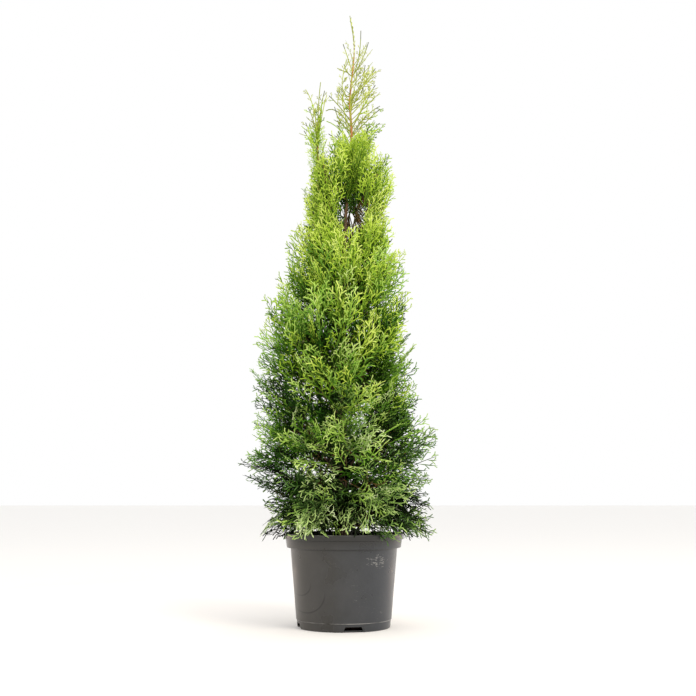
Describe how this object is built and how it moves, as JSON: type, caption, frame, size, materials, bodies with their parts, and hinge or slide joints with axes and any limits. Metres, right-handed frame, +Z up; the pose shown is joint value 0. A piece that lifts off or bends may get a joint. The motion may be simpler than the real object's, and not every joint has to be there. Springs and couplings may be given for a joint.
{
  "type": "potted emerald green arborvitae",
  "caption": "Young columnar evergreen conifer in a round plastic nursery pot, with a central leader, side boughs and flat scaly foliage masses.",
  "frame": {"origin": "centre of the pot's flat underside", "axes": "+Z up along the trunk, -Y the front of the picture, +X to its right"},
  "size_m": [0.3729, 0.3797, 1.2431],
  "materials": {
    "pot_plastic": "dark grey moulded plastic, satin",
    "peat": "damp dark peat, loose",
    "bark": "thin reddish brown bark",
    "foliage": "green scaly sprays",
    "young_foliage": "bright yellow-green young sprays"
  },
  "bodies": {
    "root": {"column_back": "young_foliage", "column_back_bough": "bark", "column_front": "young_foliage", "column_front_bough": "bark", "high_1": "foliage", "high_1_bough": "bark", "high_2": "foliage", "high_2_bough": "bark", "high_3": "foliage", "high_3_bough": "bark", "high_4": "foliage", "high_4_bough": "bark", "leader_left": "young_foliage", "leader_right": "young_foliage", "left_plume": "young_foliage", "lower_1": "foliage", "lower_1_bough": "bark", "lower_2": "foliage", "lower_2_bough": "bark", "lower_3": "foliage", "lower_3_bough": "bark", "lower_4": "foliage", "lower_4_bough": "bark", "lower_5": "foliage", "lower_5_bough": "bark", "lower_6": "foliage", "lower_6_bough": "bark", "middle_1": "foliage", "middle_1_bough": "bark", "middle_2": "foliage", "middle_2_bough": "bark", "middle_3": "foliage", "middle_3_bough": "bark", "middle_4": "foliage", "middle_4_bough": "bark", "middle_5": "foliage", "middle_5_bough": "bark", "pot": "pot_plastic", "second_stem": "bark", "skirt_1": "foliage", "skirt_1_bough": "bark", "skirt_2": "foliage", "skirt_2_bough": "bark", "skirt_3": "foliage", "skirt_3_bough": "bark", "skirt_4": "foliage", "skirt_4_bough": "bark", "skirt_5": "foliage", "skirt_5_bough": "bark", "skirt_6": "foliage", "skirt_6_bough": "bark", "soil": "peat", "tip_left": "young_foliage", "tip_right": "young_foliage", "trunk": "bark", "upper_back": "young_foliage", "upper_back_bough": "bark", "upper_right": "young_foliage", "upper_right_bough": "bark"}
  },
  "joints": []
}
